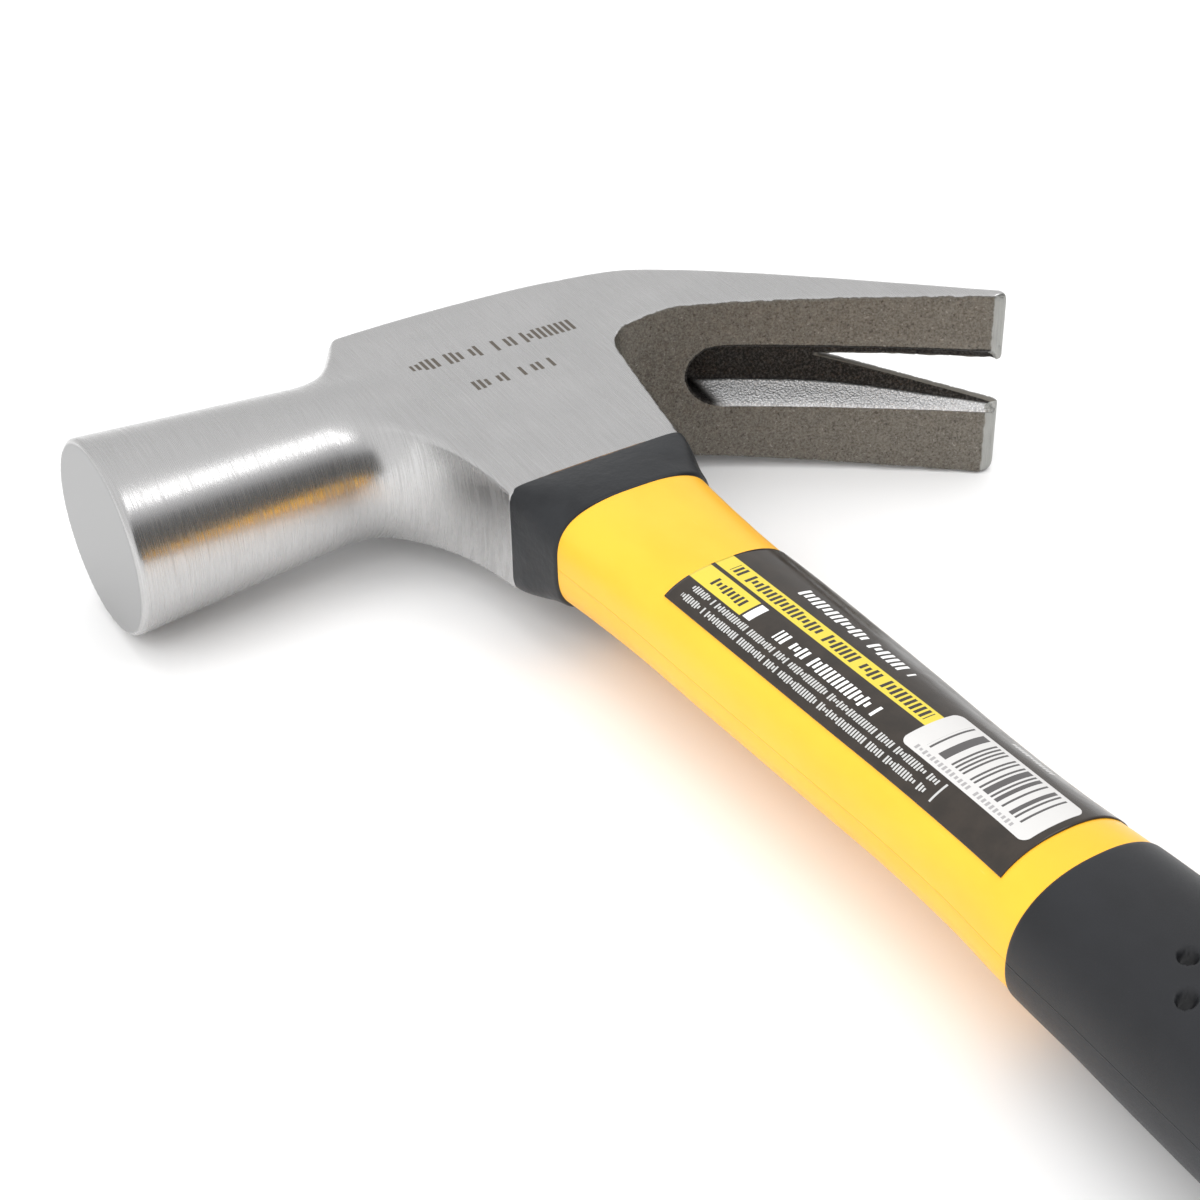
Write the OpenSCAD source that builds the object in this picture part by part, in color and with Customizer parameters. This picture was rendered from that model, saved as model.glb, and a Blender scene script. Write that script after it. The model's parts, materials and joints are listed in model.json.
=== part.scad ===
// Claw hammer, lying on its side.
// +X runs from the striking face to the claws, +Y runs up the handle to the head,
// and +Z runs through the thickness. The origin is on the surface that the hammer
// lies on, under the middle of its bounding box.
// Inside the modules X counts from the striking face, Y from the poll's axis and
// Z from the middle plane; module placed() moves the result into the frame above.

/* [Overall] */
// Length from the crown of the head to the butt of the grip
overall_len = 330; // [280:1:420]
// Length of the head from the striking face to the claw tips
head_len = 132; // [122:1:165]

/* [Poll] */
// Diameter of the striking face
face_d = 29; // [24:0.5:36]
// Bevel round the edge of the striking face
face_bevel = 1; // [0.5:0.1:2]
// Length of the straight round land behind the face
poll_land = 9; // [4:0.5:16]
// Diameter of the poll where it runs into the cheeks
poll_neck_d = 23.2; // [20:0.2:27]
// Distance from the face to the corner where the cheeks begin
poll_reach = 46; // [40:0.5:56]

/* [Cheeks] */
// Height of the crown above the poll's axis
crown_rise = 15.3; // [13:0.1:20]
// Drop of the crown from its poll end to the claws
crown_fall = 1.7; // [0.5:0.1:3]
// Length of the crown between the poll and the claws
crown_len = 34; // [30:0.5:44]
// Thickness of the cheeks at the crown
crown_t = 22.8; // [20:0.2:28]
// Depth of the neck's lower end below the poll's axis
neck_drop = 32; // [28:0.5:42]
// Width of the neck's lower end along the head
neck_w = 27.5; // [26:0.5:34]
// Thickness of the neck's lower end
neck_t = 16.4; // [15.4:0.2:22]

/* [Claws] */
// Depth of the claw tips below the poll's axis
claw_drop = 36.4; // [28:0.2:50]
// Width across both claws at their tips
claw_tip_w = 31.3; // [26:0.1:38]
// Width across both claws at their root
claw_root_w = 24.8; // [23:0.1:28]
// Thickness of the ground claw tips
claw_tip_t = 2.6; // [1.5:0.1:5]
// Width of the nail channel on the hollow side of the claws
channel_w = 10.4; // [8:0.2:12]
// Distance from the claw root to the round end of the nail channel
channel_start = 12; // [9:0.5:18]
// Thickness of steel left over the nail channel
channel_web = 3; // [2:0.1:4]
// Width of the slot between the claw tips
slot_tip_w = 7; // [5.6:0.1:8]
// Distance from the claw root to the point of the slot
slot_start = 32; // [28:0.5:36]

/* [Eye and core] */
// Width of the fibreglass core
core_w = 16; // [14:0.2:17]
// Thickness of the fibreglass core
core_t = 8.6; // [7:0.2:9]
// Resin thickness round the core at the lower end of the eye
resin_gap = 1.6; // [1:0.1:2]
// Flare of the eye from its lower end to the crown
eye_flare = 1.8; // [0:0.1:2.4]
// Depth of the resin's top below the crown
resin_recess = 1.4; // [0.6:0.1:3]
// Thickness of the resin between the neck and the jacket
resin_bead = 1.5; // [1:0.1:2.5]

/* [Jacket] */
// Width of the jacket at the collar
shoulder_w = 25.2; // [24:0.2:28]
// Thickness of the jacket at the collar
shoulder_t = 17.2; // [16.4:0.2:20]
// Width of the jacket at the waist
waist_w = 21; // [20:0.2:26]
// Thickness of the jacket at the waist
waist_t = 17.8; // [16:0.2:22]
// Distance from the neck to the waist
waist_at = 80; // [70:1:95]
// Distance from the neck to the front edge of the grip
grip_at = 101.5; // [96:0.5:120]
// Wall of the jacket round the core, inside the collar and the grip
jacket_wall = 2.4; // [2:0.1:2.8]

/* [Collar] */
// Height of the collar
collar_h = 10; // [7:0.5:14]
// Step of the collar beyond the jacket
collar_step = 0.5; // [0.2:0.1:1]

/* [Grip] */
// Width of the grip at its front edge
grip_front_w = 23.2; // [23:0.2:28]
// Thickness of the grip at its front edge
grip_front_t = 19.2; // [18:0.2:24]
// Width of the grip at the palm swell
palm_w = 30; // [28:0.5:36]
// Thickness of the grip at the palm swell
palm_t = 25; // [22:0.5:30]
// Width of the flare at the butt
butt_w = 35; // [30:0.5:40]
// Thickness of the flare at the butt
butt_t = 30; // [26:0.5:31]
// Rubber left below the end of the jacket
butt_pad = 8; // [5:0.5:14]

/* [Label] */
// Distance from the neck to the label
label_at = 31; // [24:0.5:36]
// Length of the label
label_len = 65.5; // [50:0.5:68]
// Thickness of the label
label_t = 0.2; // [0.15:0.05:0.4]

/* [Hidden] */
$fn = 64;

// Heights along Y, counted from the poll's axis
neck_y = -neck_drop;
collar_y = neck_y - collar_h;
grip_y = neck_y - grip_at;
butt_y = crown_rise - overall_len;
jacket_end_y = butt_y + butt_pad;
core_end_y = jacket_end_y + jacket_wall;
jacket_top_y = neck_y - resin_bead;
resin_top_y = crown_rise - resin_recess;

// Places along X, counted from the striking face
cheek_x = poll_reach;
root_x = cheek_x + crown_len;
neck_x = cheek_x + 2 + neck_w / 2;
rest_z = max(claw_tip_w, face_d, butt_t) / 2;

// Corners of the head's profile, and the handles that its curves bend towards
tip_slope = 37;
crown_start = [cheek_x, crown_rise];
crown_end = [root_x, crown_rise - crown_fall];
outer_bend = [root_x + 12, crown_rise - 5.7];
tip_outer = [head_len, -claw_drop + claw_tip_t * sin(tip_slope)];
tip_inner = [head_len - claw_tip_t * cos(tip_slope), -claw_drop];
inner_bend = [root_x + 11, -5.4];
inner_root = [root_x + 2, -6];
root_bend = [root_x - 0.5, -6];
root_low = [root_x - 0.7, -10];
neck_back = [neck_x + neck_w / 2, neck_y];
neck_front = [neck_x - neck_w / 2, neck_y];
cheek_low = [neck_front[0], neck_y + 5];
cheek_bend = [cheek_x + 0.7, -15];
poll_low = [cheek_x - 10, -6];
poll_top = [cheek_x - 12, crown_rise - 5.3];
crown_bend = [cheek_x - 2.4, crown_rise - 5.1];
claw_steps = 16;
corner_steps = 8;

// The poll's flare: where it starts, how it opens into the cheeks, and its outer radius
flare_x = cheek_x - 12;
flare_bend = [poll_neck_d / 2 + 1, cheek_x - 1];
flare_r = neck_drop + 16;
flare_end = [flare_r, cheek_x + 2];
poll_narrow_x = cheek_x - 8;

// The claws start this far inside the cheeks, this much thinner on each side
claw_overlap = 6;
claw_step = 0.6;
claw_zone_y = -8;
claw_zone_drop = 12;

// Corner radius of the core, and the straight section that the collar and grip cover
core_r = 4;
tenon_squareness = 4;
tenon_w = core_w + 2 * jacket_wall;
tenon_t = core_t + 2 * jacket_wall;
eye_w = core_w + 2 * resin_gap;
eye_t = core_t + 2 * resin_gap;

// Points on each ring of the jacket and grip, and the length between rings
ring_points = 32;
ring_step = 6;

// Length that a cut runs past a face, and the thickness of a hull's end sections
cut = 1;
sliver = 0.01;

// Handle sections: place along Y, width, thickness and squareness of the ring
jacket_rings = [
    [collar_y, shoulder_w, shoulder_t, 3.2],
    [(collar_y + neck_y - waist_at) / 2, (shoulder_w + waist_w) / 2, (shoulder_t + waist_t) / 2, 2.5],
    [neck_y - waist_at, waist_w, waist_t, 2.3],
    [grip_y, grip_front_w, grip_front_t, 2.3]
];
palm_y = (grip_y + butt_y) / 2 - 4;
hollow_y = butt_y + 32;
butt_flare_y = butt_y + 8;
butt_edge_y = butt_y + 1.5;
grip_rings = [
    [grip_y, grip_front_w, grip_front_t, 2.3],
    [palm_y, palm_w, palm_t, 2.3],
    [hollow_y, (palm_w + grip_front_w) / 2, (palm_t + grip_front_t) / 2, 2.3],
    [butt_flare_y, butt_w, butt_t, 2.4],
    [butt_edge_y, butt_w - 5, butt_t - 5, 2.3],
    [butt_y, butt_w - 12, butt_t - 12, 2.2]
];
collar_rings = [
    [neck_y, neck_w, neck_t, 8],
    [neck_y - collar_h / 2, (neck_w + shoulder_w) / 2 + collar_step,
     (neck_t + shoulder_t) / 2 + collar_step, 5],
    [collar_y, shoulder_w + collar_step, shoulder_t + collar_step, 3.2]
];

// The label: its first and last angle round the jacket, its columns, and the adhesive under it
label_y = neck_y - label_at;
label_from = 30;
label_to = 137;
label_columns = 20;
adhesive_t = 0.02;

// Point at t on the curve from a to c that bends towards b
function bend(a, b, c, t) = (1 - t) * (1 - t) * a + 2 * t * (1 - t) * b + t * t * c;

// Points along that curve, both ends included
function curve(a, b, c, steps) = [for (k = [0 : steps]) bend(a, b, c, k / steps)];

// Slope of column k of rings at ring i
function ring_slope(rings, i, k) =
    let (lo = max(i - 1, 0), hi = min(i + 1, len(rings) - 1))
    (rings[hi][k] - rings[lo][k]) / (rings[hi][0] - rings[lo][0]);

// Index of the pair of rings that y lies between
function ring_pair(rings, y, i = 0) =
    (i >= len(rings) - 2 || y >= rings[i + 1][0]) ? i : ring_pair(rings, y, i + 1);

// Column k of rings at y, on a smooth curve through the rings
function ring_value(rings, y, k) =
    let (i = ring_pair(rings, y), a = rings[i], b = rings[i + 1],
         d = b[0] - a[0], t = (y - a[0]) / d, t2 = t * t, t3 = t2 * t)
    (2 * t3 - 3 * t2 + 1) * a[k] + (t3 - 2 * t2 + t) * d * ring_slope(rings, i, k)
    + (3 * t2 - 2 * t3) * b[k] + (t3 - t2) * d * ring_slope(rings, i + 1, k);

// Number x raised to a power with its sign kept
function signed_pow(x, p) = sign(x) * pow(abs(x), p);

// Point at an angle on a ring, with the ring pushed out by grow
function ring_point(ring, angle, grow = 0) =
    let (p = 2 / ring[3])
    [neck_x + (ring[1] / 2 + grow) * signed_pow(cos(angle), p), ring[0],
     (ring[2] / 2 + grow) * signed_pow(sin(angle), p)];

// Section of a smooth curve through the rings, at y: place, width, thickness, squareness
function ring_at(rings, y) = [y, for (k = [1 : 3]) ring_value(rings, y, k)];

// The named rings, with smooth ones about ring_step apart between them
function smooth_rings(rings) = [
    ring_at(rings, rings[0][0]),
    for (i = [0 : len(rings) - 2])
        let (steps = ceil((rings[i][0] - rings[i + 1][0]) / ring_step))
        for (k = [1 : steps])
            ring_at(rings, rings[i][0] + (rings[i + 1][0] - rings[i][0]) * k / steps)
];

// Straight part of the jacket that the collar or the grip covers
function tenon(y_high, y_low) = [
    [y_high, tenon_w, tenon_t, tenon_squareness],
    [y_low, tenon_w, tenon_t, tenon_squareness]
];

// Closed solid through a list of rings
module skin(rings) {
    n = ring_points;
    last = len(rings) - 1;
    points = [for (ring = rings) for (k = [0 : n - 1]) ring_point(ring, 360 * k / n)];
    sides = [for (i = [0 : last - 1]) for (k = [0 : n - 1])
        [i * n + k, (i + 1) * n + k, (i + 1) * n + (k + 1) % n, i * n + (k + 1) % n]];
    caps = [[for (k = [0 : n - 1]) k], [for (k = [n - 1 : -1 : 0]) last * n + k]];
    polyhedron(points, concat(sides, caps));
}

// Straight bar along Y with rounded corners, centred on the handle
module bar(y_low, y_high, w, t, r) {
    translate([neck_x, y_high, 0])
        rotate([90, 0, 0])
            linear_extrude(y_high - y_low)
                rounded_rectangle(w, t, r);
}

module rounded_rectangle(w, t, r) {
    square([w - 2 * r, t], center = true);
    square([w, t - 2 * r], center = true);
    for (x = [-1, 1])
        for (z = [-1, 1])
            translate([x * (w / 2 - r), z * (t / 2 - r)])
                circle(r);
}

// Moves a piece from head coordinates into the part's frame
module placed() {
    translate([-head_len / 2, overall_len / 2 - crown_rise, rest_z])
        children();
}

// Profile of the head seen along Z
module head_profile() {
    polygon(concat(
        curve(poll_top, crown_bend, crown_start, corner_steps),
        curve(crown_end, outer_bend, tip_outer, claw_steps),
        curve(tip_inner, inner_bend, inner_root, claw_steps),
        [root_bend, root_low, neck_back, neck_front],
        curve(cheek_low, cheek_bend, poll_low, corner_steps)
    ));
}

// Cheeks: the profile, thinning from the crown to the neck, with the poll's flare round it
module cheeks() {
    intersection() {
        linear_extrude(crown_t, center = true)
            intersection() {
                head_profile();
                translate([0, neck_y - cut])
                    square([inner_root[0], neck_drop + crown_rise + 2 * cut]);
            }
        rotate([0, 90, 0])
            linear_extrude(head_len)
                polygon([
                    [-crown_t / 2, crown_rise], [crown_t / 2, crown_rise],
                    [neck_t / 2, neck_y], [-neck_t / 2, neck_y]
                ]);
        rotate([0, 90, 0])
            rotate_extrude()
                polygon(concat(
                    [[0, flare_x]],
                    curve([poll_neck_d / 2, flare_x], flare_bend, flare_end, corner_steps),
                    [[flare_r, head_len], [0, head_len]]
                ));
    }
}

// Poll: a round bar that narrows from the land behind the face to the cheeks
module poll() {
    face_r = face_d / 2;
    neck_r = poll_neck_d / 2;
    rotate([0, 90, 0])
        rotate_extrude()
            polygon([
                [0, 0], [face_r - face_bevel, 0], [face_r, face_bevel],
                [face_r, poll_land], [neck_r, poll_narrow_x],
                [neck_r, cheek_x + cut], [0, cheek_x + cut]
            ]);
}

// Claws before the nail slot is cut: the profile, widening towards the tips
module claw_blank() {
    start_x = root_x - claw_overlap;
    end_x = head_len + cut;
    start_w = crown_t - 2 * claw_step;
    spread = (claw_tip_w - claw_root_w) / (head_len - inner_root[0]);
    end_w = claw_tip_w + spread * cut;
    intersection() {
        linear_extrude(2 * claw_tip_w, center = true)
            intersection() {
                head_profile();
                polygon([
                    [start_x, claw_zone_y], [inner_root[0] + cut, claw_zone_y],
                    [end_x, -claw_drop - claw_zone_drop],
                    [end_x, crown_rise + cut], [start_x, crown_rise + cut]
                ]);
            }
        rotate([90, 0, 0])
            linear_extrude(2 * (claw_drop + crown_rise), center = true)
                polygon([
                    [start_x, -start_w / 2], [inner_root[0], -claw_root_w / 2],
                    [end_x, -end_w / 2], [end_x, end_w / 2],
                    [inner_root[0], claw_root_w / 2], [start_x, start_w / 2]
                ]);
    }
}

// Channel on the hollow side of the claws: round at its end, open at the tips
module nail_channel() {
    end_x = root_x + channel_start + channel_w / 2;
    web = channel_web * [sin(tip_slope), cos(tip_slope)];
    tip_web = web / 3;
    intersection() {
        linear_extrude(channel_w, center = true)
            polygon(concat(
                curve(crown_end - web, outer_bend - web, tip_outer - tip_web, claw_steps),
                [[head_len + cut, -claw_drop - claw_zone_drop], [root_x, -claw_drop]]
            ));
        rotate([90, 0, 0])
            linear_extrude(2 * (claw_drop + crown_rise), center = true) {
                translate([end_x, 0])
                    circle(d = channel_w);
                translate([end_x, -channel_w / 2])
                    square([head_len, channel_w]);
            }
    }
}

// Tapered slot through the claws, from its point to the tips
module nail_slot() {
    rotate([90, 0, 0])
        linear_extrude(2 * (claw_drop + crown_rise), center = true)
            polygon([
                [root_x + slot_start, 0],
                [head_len + cut, -slot_tip_w / 2],
                [head_len + cut, slot_tip_w / 2]
            ]);
}

// Space inside the eye, from the neck up through the crown
module eye_space(y_top) {
    grow = eye_flare * (y_top - neck_y) / (crown_rise - neck_y);
    hull() {
        bar(neck_y - sliver, neck_y, eye_w, eye_t, core_r);
        bar(y_top - sliver, y_top, eye_w + 2 * grow, eye_t + grow, core_r);
    }
}

// Forged steel head: poll, cheeks, eye and claws
module claw_head() {
    color("silver")
        placed()
            difference() {
                union() {
                    poll();
                    cheeks();
                    claw_blank();
                }
                eye_space(crown_rise + cut);
                nail_channel();
                nail_slot();
            }
}

// Set resin: fills the eye round the core, with a bead below the neck
module eye_resin() {
    color("saddlebrown")
        placed()
            difference() {
                union() {
                    eye_space(resin_top_y);
                    skin(tenon(neck_y, jacket_top_y));
                }
                bar(jacket_top_y - cut, crown_rise, core_w, core_t, core_r);
            }
}

// Pultruded fibreglass bar, from the crown to the end of the jacket
module fibreglass_core() {
    color("khaki")
        placed()
            bar(core_end_y, resin_top_y, core_w, core_t, core_r);
}

// Yellow moulded jacket: full size where it shows, stepped down in the collar and the grip
module handle_jacket() {
    color("gold")
        placed()
            difference() {
                skin(concat(tenon(jacket_top_y, collar_y), smooth_rings(jacket_rings),
                            tenon(grip_y, jacket_end_y)));
                bar(core_end_y, crown_rise, core_w, core_t, core_r);
            }
}

// Black collar that covers the joint between the neck and the jacket
module neck_collar() {
    color("dimgray")
        placed()
            difference() {
                skin(smooth_rings(collar_rings));
                skin(tenon(neck_y + cut, collar_y - cut));
            }
}

// Black rubber grip moulded over the lower end of the jacket
module grip_sleeve() {
    color([0.16, 0.17, 0.18])
        placed()
            difference() {
                skin(smooth_rings(grip_rings));
                skin(tenon(grip_y + cut, jacket_end_y));
            }
}

// Printed label, wrapped over the upper side of the jacket
module label() {
    rows = ceil(label_len / ring_step);
    n = label_columns + 1;
    layer = (rows + 1) * n;
    angle_step = (label_to - label_from) / label_columns;
    points = [for (grow = [adhesive_t, adhesive_t + label_t])
        for (i = [0 : rows])
            let (ring = ring_at(jacket_rings, label_y - label_len * i / rows))
            for (k = [0 : label_columns])
                ring_point(ring, label_from + angle_step * k, grow)];
    skins = [for (i = [0 : rows - 1]) for (k = [0 : label_columns - 1])
        let (a = i * n + k, b = a + n)
        each [[a, a + 1, b + 1, b], [layer + a, layer + b, layer + b + 1, layer + a + 1]]];
    sides = [for (i = [0 : rows - 1])
        let (a = i * n, b = a + n, c = a + label_columns, d = b + label_columns)
        each [[a, b, layer + b, layer + a], [c, layer + c, layer + d, d]]];
    ends = [for (k = [0 : label_columns - 1])
        let (b = rows * n + k)
        each [[k, layer + k, layer + k + 1, k + 1], [b, b + 1, layer + b + 1, layer + b]]];
    color([0.2, 0.2, 0.2])
        placed()
            polyhedron(points, concat(skins, sides, ends));
}

claw_head();
eye_resin();
fibreglass_core();
handle_jacket();
neck_collar();
grip_sleeve();
label();
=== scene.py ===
"""Claw hammer lying on its side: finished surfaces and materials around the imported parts.

Working coordinates are millimetres: X from the striking face, Y from the poll's axis and
Z from the middle plane. to_frame() turns them into the part's frame, in metres.
"""

import json
import math

import bpy
import numpy as np
from mathutils import Matrix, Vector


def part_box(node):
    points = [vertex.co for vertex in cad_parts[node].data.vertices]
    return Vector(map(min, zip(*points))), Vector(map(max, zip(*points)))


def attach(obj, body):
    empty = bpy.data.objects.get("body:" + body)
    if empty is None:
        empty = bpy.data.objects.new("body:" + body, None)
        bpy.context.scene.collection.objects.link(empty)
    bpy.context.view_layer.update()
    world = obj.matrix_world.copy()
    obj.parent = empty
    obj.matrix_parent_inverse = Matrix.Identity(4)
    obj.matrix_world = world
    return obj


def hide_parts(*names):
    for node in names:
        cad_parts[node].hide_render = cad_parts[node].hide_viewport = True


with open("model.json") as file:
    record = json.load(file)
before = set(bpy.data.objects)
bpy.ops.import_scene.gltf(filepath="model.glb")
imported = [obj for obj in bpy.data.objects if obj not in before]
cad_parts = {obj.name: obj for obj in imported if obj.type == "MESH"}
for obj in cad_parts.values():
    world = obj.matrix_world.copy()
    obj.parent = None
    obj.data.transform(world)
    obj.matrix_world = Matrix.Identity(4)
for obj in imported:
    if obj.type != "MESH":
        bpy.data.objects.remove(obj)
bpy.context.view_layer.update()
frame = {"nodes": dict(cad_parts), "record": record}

MM = 0.001
MOUNTS = {mount["name"]: mount for mount in frame["record"]["mounts"]}
ORIGIN = np.array(MOUNTS["striking_face"]["pos_m"])


def box_mm(node):
    """Lowest and highest corners of a CAD node in working coordinates."""
    low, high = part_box(node)
    return (np.array(low) - ORIGIN) / MM, (np.array(high) - ORIGIN) / MM


def to_frame(points):
    return ORIGIN + np.asarray(points, float) * MM


# ---------------------------------------------------------------- sizes
FACE_R = MOUNTS["poll_end"]["dims"]["r_mm"]
HEAD_LOW, HEAD_HIGH = box_mm("claw_head")
COLLAR_LOW, COLLAR_HIGH = box_mm("neck_collar")
GRIP_LOW, GRIP_HIGH = box_mm("grip_sleeve")
LABEL_LOW, LABEL_HIGH = box_mm("label")
NECK_Y = COLLAR_HIGH[1]
COLLAR_Y = COLLAR_LOW[1]
BUTT_Y = GRIP_LOW[1]
GRIP_Y = GRIP_HIGH[1]
HANDLE_X = (GRIP_LOW[0] + GRIP_HIGH[0]) / 2
NECK_W = COLLAR_HIGH[0] - COLLAR_LOW[0]
LABEL_TOP = LABEL_HIGH[1]
LABEL_END = LABEL_LOW[1]

# Poll and face
BEVEL = 0.55
POLL_TAPER = 0.0756
POLL_END = 60
POLL_SINK = 1.2
POLL_SINK_FROM = 38
POLL_SINK_TO = 56
FACE_EDGE = 0.15
BEVEL_EDGE = 0.3

# Crown, claws and neck: corners of smooth curves in the middle plane
TIP_X = 131.9
CROWN = [(40, 14.8), (50, 15.6), (64, 15.1), (76, 13.95)]
CLAW_OUTER = [(76, 13.95), (90.5, 12.4), (103, -2.6), (TIP_X, -34.5)]
CLAW_INNER = [(83.5, -6), (91.5, -5.6), (129.9, -36.4)]
CLAW_ROOT = [(79.3, -11), (79.9, -6.2), (83.5, -6)]
NECK_BACK_X = 75.3
NECK_SINK = 0.8
TIP_POINT = (129.9, -36.1)
TIP_ANGLE = math.radians(-87)

# Front of the cheeks: how far it leans towards the face, as reach, radius and falloff
FLARE_X = 47.9
FLARE = (10.4, 10.4 / 6.9, 11.2, 6.9)
FILLET = (4.5, 5.6, 10.9, 0.8)

# Half thickness of the neck, the cheeks above it and the claws
NECK_HALF = 8.2
CHEEK_RISE = 0.072
CLAW_HALF = 12.4
CLAW_SPREAD = 3.2
CLAW_SPREAD_X = 82
CLAW_SPREAD_LENGTH = 50
CLAW_SPREAD_POWER = 0.85
CHEEK_END_X = 76
CLAW_FULL_X = 92

# Nail channel and slot
CHANNEL_ROUND_X = 97.4
CHANNEL_HALF = 5.0
CHANNEL_DRAFT = 0.18
CHANNEL_DEPTH = 6.0
CHANNEL_Z = 0.9
CHANNEL_CORNER = 2.0
WEB_THIN = 1.3
WEB_EXTRA = 1.7
WEB_FROM_X = 99
WEB_TO_X = 112
SLOT_X = 112.1
SLOT_SPREAD = 0.19
SLOT_RISE = 0.8
SLOT_TILT = 0.06

# Eye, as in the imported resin
EYE_HALF = (9.6, 5.9)
EYE_FLARE = (1.8, 0.9)
EYE_CORNER = 4

# Rounding of the head's edges, in the order in which head_distance joins the surfaces
CHEEK_EDGE = 1.8
FLARE_EDGE = 0.9
INNER_EDGE = 0.45
TIP_EDGE = 0.7
POLL_FILLET = 1.5
CHANNEL_EDGE = 0.5
SLOT_EDGE = 0.3
EYE_EDGE = 0.4

# Where the zones of the head's surface begin, and the limit of their fields
UNDER_X = 70
CLAW_X = 86
CUT_X = 88
UNDER_LOW_Y = -14
UNDER_LOW_RATE = 0.7
CUT_REACH = 0.4
FIELD_LIMIT = 5

# Forged roughness as (cell, seed, height), and chips along the forged edges
FORGED_LUMPS = ((2.1, 3, 0.06), (0.9, 4, 0.05))
FORGED_FROM = -0.6
FORGED_TO = 0.4
CHIP_CELL = 1.3
CHIP_SEED = 5
CHIP_SHARE = 0.1
CHIP_DEPTH = 0.245
CHIP_REACH = 0.5
CHIP_EDGE_X = 84
CHIP_MOUTH_X = 90

# Voxel of the head's surface, in millimetres
STEP = 0.47
SLOPE_GAP = 0.04
NEWTON_ROUNDS = 3
LEAST_SLOPE = 0.2


# ---------------------------------------------------------------- small tools
def smooth_max(a, b, k):
    """The larger of two, rounded over k where they meet."""
    overlap = np.maximum(k - np.abs(a - b), 0) / k
    return np.maximum(a, b) + overlap * overlap * k / 4


def smooth_min(a, b, k):
    return -smooth_max(-a, -b, k)


def ramp(low, high, x):
    """0 below low, 1 above high, smooth between."""
    t = np.clip((x - low) / (high - low), 0, 1)
    return t * t * (3 - 2 * t)


def curve(corners, steps):
    """Points along the Bezier curve of these corners."""
    t = np.linspace(0, 1, steps + 1)[:, None]
    n = len(corners) - 1
    return sum(
        math.comb(n, i) * t**i * (1 - t) ** (n - i) * np.array(corner, float)
        for i, corner in enumerate(corners)
    )


def outline_distance(x, y, corners):
    """Signed distance from a closed outline, below zero inside it."""
    nearest = np.full(np.broadcast(x, y).shape, np.inf)
    inside = np.zeros(nearest.shape, bool)
    for (ax, ay), (bx, by) in zip(corners, np.roll(corners, -1, axis=0)):
        ex, ey = bx - ax, by - ay
        along = np.clip(((x - ax) * ex + (y - ay) * ey) / (ex * ex + ey * ey), 0, 1)
        nearest = np.minimum(nearest, (x - ax - along * ex) ** 2 + (y - ay - along * ey) ** 2)
        if ey != 0:
            crosses = (ay > y) != (by > y)
            inside ^= crosses & (x < ax + (y - ay) * ex / ey)
    return np.where(inside, -1, 1) * np.sqrt(nearest)


def lattice_noise(points, cell, seed):
    """Smooth noise from -1 to 1, with bumps about a cell wide."""
    size = 64
    values = np.random.default_rng(seed).uniform(-1, 1, (size, size, size))
    scaled = points / cell
    whole = np.floor(scaled).astype(int)
    part = ramp(0, 1, scaled - whole)
    total = 0
    for dx in (0, 1):
        for dy in (0, 1):
            for dz in (0, 1):
                corner = (whole + (dx, dy, dz)) % size
                weight = np.prod(np.where((dx, dy, dz), part, 1 - part), axis=-1)
                total = total + weight * values[corner[:, 0], corner[:, 1], corner[:, 2]]
    return total


def make_object(name, vertices, faces, material):
    """A smooth-shaded mesh object from points in working coordinates."""
    mesh = bpy.data.meshes.new(name)
    mesh.from_pydata(to_frame(vertices).tolist(), [], faces)
    mesh.polygons.foreach_set("use_smooth", [True] * len(mesh.polygons))
    mesh.materials.append(material)
    mesh.update()
    piece = bpy.data.objects.new(name, mesh)
    bpy.context.scene.collection.objects.link(piece)
    return piece


def add_field(piece, name, values):
    field = piece.data.attributes.new(name, "FLOAT", "POINT")
    field.data.foreach_set("value", np.asarray(values, np.float32))


def tube_faces(rows, columns):
    """Quads round a tube of rings, and a fan of triangles on each end."""
    k = np.arange(columns)
    after = (k + 1) % columns
    quads = []
    for i in range(rows - 1):
        a = i * columns
        b = a + columns
        quads += np.stack([a + k, b + k, b + after, a + after], axis=1).tolist()
    first = rows * columns
    last = (rows - 1) * columns
    quads += np.stack([np.full(columns, first), k, after], axis=1).tolist()
    quads += np.stack([np.full(columns, first + 1), last + after, last + k], axis=1).tolist()
    return quads


# ---------------------------------------------------------------- head shape
# Closed outlines in the middle plane: the steel lies inside the outer one, outside the inner
OUTER_LINE = np.vstack([
    [(30, -60), (30, 14.4)], curve(CROWN, 16), curve(CLAW_OUTER, 28)[1:], [(TIP_X, -60)],
])
INNER_LINE = np.vstack([
    [(30, 40), (145, 40), (145, -49)], curve(CLAW_INNER, 28)[::-1], curve(CLAW_ROOT, 8)[::-1][1:],
    [(NECK_BACK_X, NECK_Y - NECK_SINK), (30, NECK_Y - NECK_SINK)],
])


def half_thickness(x, y):
    """Half the head's thickness: cheeks that thin to the neck, claws that widen to the tips."""
    cheek = NECK_HALF + CHEEK_RISE * (y - NECK_Y)
    along = np.clip((x - CLAW_SPREAD_X) / CLAW_SPREAD_LENGTH, 0, 1)
    claw = CLAW_HALF + CLAW_SPREAD * along**CLAW_SPREAD_POWER
    return cheek + (claw - cheek) * ramp(CHEEK_END_X, CLAW_FULL_X, x)


def poll_distance(x, rho):
    """Tapered round poll with a bevelled striking face."""
    sink = POLL_SINK * ramp(POLL_SINK_FROM, POLL_SINK_TO, x)
    radius = FACE_R - POLL_TAPER * (x - BEVEL) - sink
    poll = smooth_max(rho - radius, -x, FACE_EDGE)
    poll = smooth_max(poll, (rho - x - FACE_R + BEVEL) / math.sqrt(2), BEVEL_EDGE)
    return np.maximum(poll, x - POLL_END)


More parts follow.
